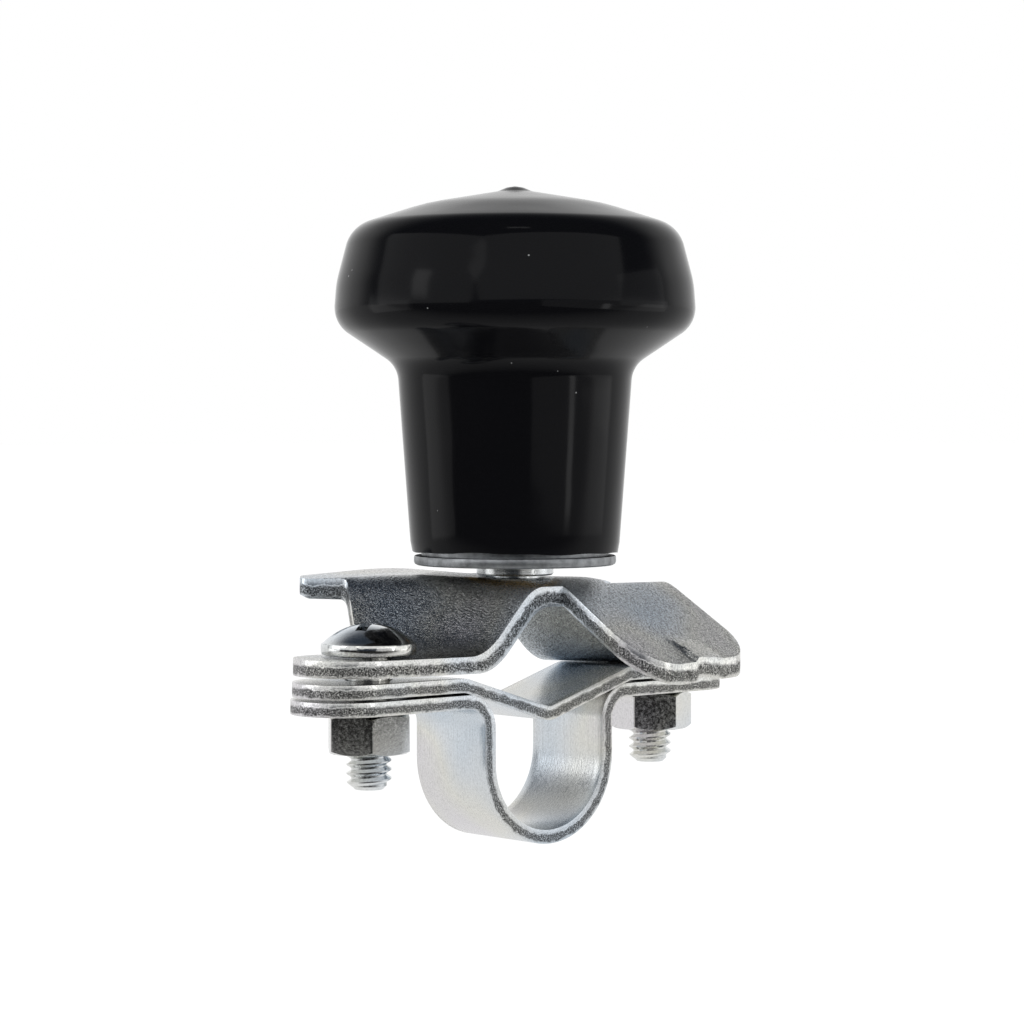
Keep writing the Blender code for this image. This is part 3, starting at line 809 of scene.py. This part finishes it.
def plate_outline(sizes):
    """Outline of the top plate from above: two flanges, the front tab and the rear lip."""
    end, half = PLATE_HIGH.x, sizes.plate_half_width
    flange_round = half - 0.05
    slit_rear = SLIT_FRONT + SLIT_WIDTH
    return round_corners([
        (-end, -half, flange_round), (TAB_LEFT, -half, 0.0), (TAB_LEFT + TAB_SPREAD, TAB_FRONT, 8.0),
        (TAB_RIGHT + TAB_SPREAD + 1.3, TAB_FRONT + 1.6, 3.8), (TAB_RIGHT - 0.6, SLIT_FRONT, 1.0),
        (SLIT_END, SLIT_FRONT, 0.0), (SLIT_END, slit_rear, 0.0), (end, slit_rear, -slit_rear - 0.05),
        (end, half, flange_round), (-TAB_LEFT, half, 1.0), (-TAB_LEFT - TAB_SPREAD, LIP_REAR, 8.0),
        (-22.3, LIP_REAR, 1.6), (-25.4, 18.4, 1.4),
        (-19.5, 14.8, 1.0), (-23.2, half, 1.0), (-end, half, flange_round),
    ], closed=True)


class SPINNER_OT_top_plate(bpy.types.Operator):
    """Model the folded top plate with its slopes, front tab, lanced dart and rear lip"""

    bl_idname = "spinner.top_plate"
    bl_label = "Top plate"

    def execute(self, context):
        sizes = in_millimetres(context.scene.spinner_clamp)
        mesh_data = bmesh.new()
        mesh_data.faces.new([mesh_data.verts.new((point.x, point.y, 0.0)) for point in plate_outline(sizes)])
        ranges = ((0, PLATE_LOW.x, PLATE_HIGH.x), (1, PLATE_LOW.y, PLATE_HIGH.y))
        for axis, low, high in ranges:
            cells = round((high - low) / sizes.cell)
            for index in range(1, cells):
                point, normal = Vector(), Vector()
                point[axis] = low + (high - low) * index / cells
                normal[axis] = 1.0
                geometry = mesh_data.verts[:] + mesh_data.edges[:] + mesh_data.faces[:]
                bmesh.ops.bisect_plane(mesh_data, geom=geometry, dist=0.0001, plane_co=point, plane_no=normal)

        along = (DART_END - DART_TIP).normalized()
        side = Vector((-along.y, along.x, 0.0))
        for step in (0.0, DART_STEP):
            near = set()
            for face in mesh_data.faces:
                part, right = dart_place(*face.calc_center_median().xy)
                if -0.15 < part < 1.3 and abs(right) < DART_REACH:
                    near.update(face.verts, face.edges, [face])
            bmesh.ops.bisect_plane(mesh_data, geom=list(near), dist=0.0001,
                                   plane_co=DART_TIP.to_3d() + side * step, plane_no=side)

        def place(x, y, through):
            return Vector((x, y, plate_surface(sizes, x, y, through * sizes.plate_thickness)))

        thicken_sheet(mesh_data, place, sizes.edge_round)
        for face in mesh_data.faces:
            part, right = dart_place(*face.calc_center_median().xy)
            if part > 0.05 and 0.0 < right < DART_STEP and face.normal.z > 0:
                face.material_index = 1
        item = to_object(mesh_data, "folded_top_plate", [finish("plate zinc"), finish("sheared zinc")])
        hole = sizes.thread_radius + HOLE_ROOM
        low, top = PLATE_LOW.z, PLATE_HIGH.z + sizes.stack_lift
        cutters = [cylinder(f"plate_hole_{x}", hole, low - 1, top, x)
                   for x in (-sizes.screw_x, sizes.screw_x)]
        cutters.append(cylinder("tenon_hole", TENON_RADIUS + GAP, low, top + 1))
        apply_cuts(item, cutters)
        stand_for(item, "top_plate", "clamp")
        return {"FINISHED"}


class SPINNER_OT_straps(bpy.types.Operator):
    """Model the V plate and the U strap as bent sheet with sheared edges"""

    bl_idname = "spinner.straps"
    bl_label = "V plate and U strap"

    def execute(self, context):
        sizes = in_millimetres(context.scene.spinner_clamp)
        finishes = [finish("strap zinc"), finish("sheared zinc")]
        flange = VEE_HIGH.z + sizes.stack_lift - sizes.vee_thickness / 2
        vertex = flange - sizes.vee_depth
        vee = bend_strip("folded_v_plate", [
            (VEE_LOW.x, flange, 0.0), (-sizes.vee_fold, flange, sizes.vee_bend),
            (0.0, vertex, sizes.vee_bend),
            (sizes.vee_fold, flange, sizes.vee_bend), (VEE_HIGH.x, flange, 0.0),
        ], sizes.vee_thickness, VEE_HIGH.y - VEE_LOW.y, sizes.edge_round, finishes)
        wall = sizes.rim_radius + sizes.strap_thickness / 2
        level = STRAP_HIGH.z + sizes.stack_lift - sizes.strap_thickness / 2
        strap = bend_strip("bent_u_strap", [
            (STRAP_LOW.x, level, 0.0), (-wall, level, sizes.strap_bend), (-wall, -wall, wall),
            (wall, -wall, wall), (wall, level, sizes.strap_bend), (STRAP_HIGH.x, level, 0.0),
        ], sizes.strap_thickness, STRAP_HIGH.y - STRAP_LOW.y, sizes.edge_round, finishes)
        for item, node, middle in ((vee, "v_plate", flange), (strap, "u_strap", level)):
            hole = sizes.thread_radius + HOLE_ROOM
            apply_cuts(item, [cylinder(f"{node}_hole_{x}", hole, middle - 3, middle + 3, x)
                              for x in (-sizes.screw_x, sizes.screw_x)])
            stand_for(item, node, "clamp")
        return {"FINISHED"}


def add_thread(mesh_data, sizes, x, low, high):
    """Helical ridge round a screw, fading out at its tip."""
    turns = (high - low) / sizes.pitch
    steps = round(turns * THREAD_STEPS)
    half = sizes.pitch / 2
    root = sizes.root_radius - 0.05
    corners = [(root, -half * THREAD_ROOT), (sizes.thread_radius, -half * THREAD_CREST),
               (sizes.thread_radius, half * THREAD_CREST), (root, half * THREAD_ROOT)]
    verts = [mesh_data.verts.new((x + radius, 0, low + rise)) for radius, rise in corners]
    start = mesh_data.faces.new(verts)
    before = set(mesh_data.verts) - set(verts)
    bmesh.ops.spin(mesh_data, geom=[start], cent=(x, 0, 0), axis=(0, 0, 1), dvec=(0, 0, (high - low) / steps),
                   angle=2 * math.pi * turns, steps=steps)
    for vert in set(mesh_data.verts) - before:
        outward = Vector((vert.co.x - x, vert.co.y))
        faded = min(1.0, max(0.0, (vert.co.z - low + half) / sizes.pitch))
        radius = root + (outward.length - root) * faded
        outward = outward.normalized() * radius
        vert.co.x, vert.co.y = x + outward.x, outward.y


class SPINNER_OT_screws(bpy.types.Operator):
    """Model the truss head screws with cross recesses and rolled threads"""

    bl_idname = "spinner.screws"
    bl_label = "Screws"

    def execute(self, context):
        sizes = in_millimetres(context.scene.spinner_clamp)
        tip = SCREW_LOW.z
        radius = (SCREW_HIGH.x - SCREW_LOW.x) / 2
        smooth_from = NUT_HIGH.z + sizes.stack_lift
        for side, x in (("left", -sizes.screw_x), ("right", sizes.screw_x)):
            flange = PLATE_HIGH.z + sizes.stack_lift - sizes.plate_rise - x * sizes.plate_tilt
            seat = flange + HEAD_LIFT
            edge = seat + sizes.head_edge
            dome = sizes.dome_rise
            sphere = ((radius - 0.3) ** 2 + dome ** 2) / (2 * dome)
            profile = [
                (0.0, tip), (sizes.root_radius - 0.5, tip), (sizes.root_radius, tip + 0.5),
                (sizes.root_radius, smooth_from - 0.6), (sizes.thread_radius - 0.1, smooth_from),
                (sizes.thread_radius - 0.1, seat), (radius - 0.4, seat), (radius - 0.12, seat + 0.12),
                (radius, seat + 0.4), (radius, edge - 0.3), (radius - 0.08, edge - 0.08),
                (radius - 0.3, edge)]
            for step in range(1, 15):
                ring = (radius - 0.3) * (1 - step / 14)
                profile.append((ring, edge + dome - sphere + math.sqrt(sphere ** 2 - ring ** 2)))
            mesh_data = bmesh.new()
            spin_profile(mesh_data, profile, TURNED_SEGMENTS, x)
            item = to_object(mesh_data, f"{side}_truss_screw", [finish("screw zinc")])
            cutters = [block(f"{side}_recess_{turn:.0f}", RECESS_SIZE, (x, 0.0, edge + dome + 0.1),
                             math.radians(turn)) for turn in RECESS_TURNS]
            apply_cuts(item, cutters)
            with_thread = bmesh.new()
            with_thread.from_mesh(item.data)
            bmesh.ops.scale(with_thread, vec=(1 / MM, 1 / MM, 1 / MM), verts=with_thread.verts)
            add_thread(with_thread, sizes, x, tip + 0.45, smooth_from - 1.0)
            bmesh.ops.scale(with_thread, vec=(MM, MM, MM), verts=with_thread.verts)
            bmesh.ops.recalc_face_normals(with_thread, faces=with_thread.faces)
            with_thread.to_mesh(item.data)
            with_thread.free()
            item.data.shade_smooth()
            item.data.set_sharp_from_angle(angle=SMOOTH_ANGLE)
            stand_for(item, f"{side}_screw", "clamp")
        return {"FINISHED"}


class SPINNER_OT_nuts(bpy.types.Operator):
    """Model the hex nuts with turned chamfers and countersunk bores"""

    bl_idname = "spinner.nuts"
    bl_label = "Nuts"

    def execute(self, context):
        sizes = in_millimetres(context.scene.spinner_clamp)
        low, high = NUT_LOW.z + sizes.stack_lift, NUT_HIGH.z + sizes.stack_lift
        corner = sizes.across_flats / 2 / math.cos(math.pi / 6)
        for side, x in (("left", -sizes.screw_x), ("right", sizes.screw_x)):
            mesh_data = bmesh.new()
            place = (Matrix.Translation((x, 0, (low + high) / 2))
                     @ Matrix.Rotation(math.radians(NUT_TURNS[side]), 4, "Z"))
            bmesh.ops.create_cone(mesh_data, cap_ends=True, segments=6, radius1=corner - 0.04,
                                  radius2=corner - 0.04, depth=high - low, matrix=place)
            upright = [edge for edge in mesh_data.edges
                       if abs(edge.verts[0].co.z - edge.verts[1].co.z) > 1.0]
            bmesh.ops.bevel(mesh_data, geom=upright, offset=0.15, segments=3, profile=0.5, affect="EDGES",
                            material=-1)
            nut = to_object(mesh_data, f"{side}_hex_nut", [finish("screw zinc")])
            face = corner - 1.75 * sizes.nut_chamfer
            washer = bmesh.new()
            spin_profile(washer, [
                (0.0, low - 0.01), (face, low - 0.01), (corner + 0.2, low + sizes.nut_chamfer + 0.1),
                (corner + 0.2, high - sizes.nut_chamfer - 0.1), (face, high + 0.01),
                (0.0, high + 0.01)], TURNED_SEGMENTS, x)
            apply_cuts(nut, [to_object(washer, f"{side}_nut_chamfer")], "INTERSECT")
            bore = bmesh.new()
            hole = sizes.thread_radius + 0.05
            spin_profile(bore, [
                (0.0, low - 1), (hole + 0.9, low - 1), (hole + 0.55, low), (hole, low + 0.55),
                (hole, high - 0.55), (hole + 0.55, high), (hole + 0.9, high + 1), (0.0, high + 1)], 64, x)
            apply_cuts(nut, [to_object(bore, f"{side}_nut_bore")])
            stand_for(nut, f"{side}_nut", "clamp")
        return {"FINISHED"}


# Stage


def look_from(view, turn, rise):
    """Direction from the object at a turn to the right of the camera and a rise above level."""
    right = Vector((view.y, -view.x, 0.0))
    level = -view * math.cos(turn) + right * math.sin(turn)
    return level * math.cos(rise) + Vector((0.0, 0.0, math.sin(rise)))


def soft_box(view, name, turn, rise, width, height, brightness, distance):
    """Rectangular light that faces the knob. Brightness 1 is as bright as a white wall."""
    lamp = bpy.data.lights.new(name, "AREA")
    lamp.shape = "RECTANGLE"
    lamp.size, lamp.size_y = width, height
    lamp.energy = brightness * math.pi * width * height
    item = bpy.data.objects.new(name, lamp)
    ray = look_from(view, math.radians(turn), math.radians(rise))
    item.location = Vector((0.0, 0.0, LAMP_TARGET)) + ray * distance
    item.rotation_euler = ray.to_track_quat("Z", "Y").to_euler()
    item.visible_camera = False
    bpy.context.scene.collection.objects.link(item)


def dot_product(tree, place, direction):
    return add_node(tree, "VectorMath", {0: place, 1: direction}, operation="DOT_PRODUCT").outputs["Value"]


def glow(tree, kind, strength, shade=(1.0, 1.0, 1.0, 1.0)):
    """Emission or Background shader."""
    return add_node(tree, kind, {"Color": shade, "Strength": strength}).outputs[0]


def mix_shaders(tree, factor, first, second):
    return add_node(tree, "MixShader", {0: factor, 1: first, 2: second}).outputs[0]


def ray_kinds(tree):
    """Masks of the rays from the camera, also through glass, and of those from a glossy surface."""
    path = add_node(tree, "LightPath").outputs
    return maths(tree, "MAXIMUM", path["Is Camera Ray"], path["Is Transmission Ray"]), path["Is Glossy Ray"]


def studio_world(view):
    """White to the camera. Metal sees a white backdrop behind the object and a dim room before it."""
    world = bpy.data.worlds.new("Studio")
    bpy.context.scene.world = world
    world.use_nodes = True
    tree = world.node_tree
    tree.nodes.clear()
    place = add_node(tree, "TexCoord").outputs["Generated"]
    backdrop = map_range(tree, dot_product(tree, place, view), (0.15, 0.0), (0.55, 1.0), "SMOOTHSTEP")
    upward = add_node(tree, "SeparateXYZ", {0: place}).outputs["Z"]
    below_top = map_range(tree, upward, (0.40, 1.0), (0.92, 0.08), "SMOOTHSTEP")
    shade = ramp(tree, maths(tree, "MULTIPLY", backdrop, below_top), [
        (0.0, (0.032, 0.042, 0.060)), (1.0, (1.0, 1.0, 1.0))])
    direct, glossy = ray_kinds(tree)
    fill = glow(tree, "Background", 0.55, (0.96, 0.98, 1.0, 1.0))
    mirrored = mix_shaders(tree, glossy, fill, glow(tree, "Background", 1.0, shade))
    seen = mix_shaders(tree, direct, mirrored, glow(tree, "Background", 1.0))
    add_node(tree, "OutputWorld", {"Surface": seen})


def floor_material(finishes, view):
    """Pale floor: white to the camera but for the shadow, and fading to dark before the object in metal."""
    material, tree, shader = new_material("pale floor")
    fill_inputs(tree, shader, {"Base Color": (*finishes.floor, 1.0), "Roughness": 0.8})
    behind = dot_product(tree, object_place(tree), view)
    sheen = glow(tree, "Emission", map_range(tree, behind, (-0.13, 0.02), (-0.02, 0.90), "SMOOTHSTEP"))
    direct, glossy = ray_kinds(tree)
    mirrored = mix_shaders(tree, glossy, shader.outputs[0], sheen)
    white_share = maths(tree, "MULTIPLY", direct, 0.88)
    seen = mix_shaders(tree, white_share, mirrored, glow(tree, "Emission", 1.10))
    fill_inputs(tree, tree.nodes["Material Output"], {"Surface": seen})
    return material


class SPINNER_OT_stage(bpy.types.Operator):
    """Set up the floor, the studio light and the camera at the photograph's angle"""

    bl_idname = "spinner.stage"
    bl_label = "Studio"

    def execute(self, context):
        scene = context.scene
        stage = scene.spinner_stage
        view = Vector((math.sin(stage.azimuth), math.cos(stage.azimuth), 0.0))
        up = Vector((0.0, 0.0, 1.0))

        camera_data = bpy.data.cameras.new("photo_camera")
        camera = bpy.data.objects.new("photo_camera", camera_data)
        scene.collection.objects.link(camera)
        scene.camera = camera
        camera_data.sensor_width = SENSOR_WIDTH
        camera_data.lens = stage.focal_pixels * SENSOR_WIDTH / FRAME_PIXELS
        camera_data.clip_start = 0.01
        pitch = math.atan((FRAME_PIXELS / 2 - stage.horizon_row) / stage.focal_pixels)
        pan = math.atan((stage.axis_column - FRAME_PIXELS / 2) / stage.focal_pixels)
        camera.location = up * stage.camera_height - view * stage.distance
        camera.rotation_euler = (math.pi / 2 - pitch, 0.0, pan - stage.azimuth)

        mesh_data = bmesh.new()
        bmesh.ops.create_grid(mesh_data, x_segments=1, y_segments=1, size=FLOOR_HALF_SIZE)
        bmesh.ops.translate(mesh_data, vec=(0, 0, STRAP_LOW.z - FLOOR_GAP), verts=mesh_data.verts)
        floor = to_object(mesh_data, "floor", [floor_material(scene.spinner_finishes, view)])

        for lamp in LAMPS:
            soft_box(view, *lamp)
        studio_world(view)
        scene.view_settings.view_transform = "Standard"
        return {"FINISHED"}


class SPINNER_PT_panel(bpy.types.Panel):
    """Lists the sizes, finishes and pieces"""

    bl_idname = "SPINNER_PT_panel"
    bl_label = "Spinner knob"
    bl_space_type = "VIEW_3D"
    bl_region_type = "UI"
    bl_category = "Spinner"

    def draw(self, context):
        for step in STEPS:
            self.layout.operator(step.bl_idname)
        for owner in GROUPS:
            box = self.layout.box()
            settings = getattr(context.scene, owner)
            for key in settings.__annotations__:
                box.prop(settings, key)


STEPS = (
    SPINNER_OT_stage, SPINNER_OT_knob_cover, SPINNER_OT_knob_core, SPINNER_OT_bearing, SPINNER_OT_spindle,
    SPINNER_OT_top_plate, SPINNER_OT_straps, SPINNER_OT_screws, SPINNER_OT_nuts,
)
GROUPS = {
    "spinner_knob": SpinnerKnobSizes, "spinner_clamp": SpinnerClampSizes,
    "spinner_finishes": SpinnerFinishes, "spinner_stage": SpinnerStage,
}


def register():
    for name, group in GROUPS.items():
        bpy.utils.register_class(group)
        setattr(bpy.types.Scene, name, PointerProperty(type=group))
    for step in STEPS:
        bpy.utils.register_class(step)
    bpy.utils.register_class(SPINNER_PT_panel)


def unregister():
    bpy.utils.unregister_class(SPINNER_PT_panel)
    for step in reversed(STEPS):
        bpy.utils.unregister_class(step)
    for name, group in reversed(GROUPS.items()):
        delattr(bpy.types.Scene, name)
        bpy.utils.unregister_class(group)


def main():
    register()
    for step in STEPS:
        prefix, action = step.bl_idname.split(".")
        getattr(getattr(bpy.ops, prefix), action)()


if __name__ == "__main__":
    main()
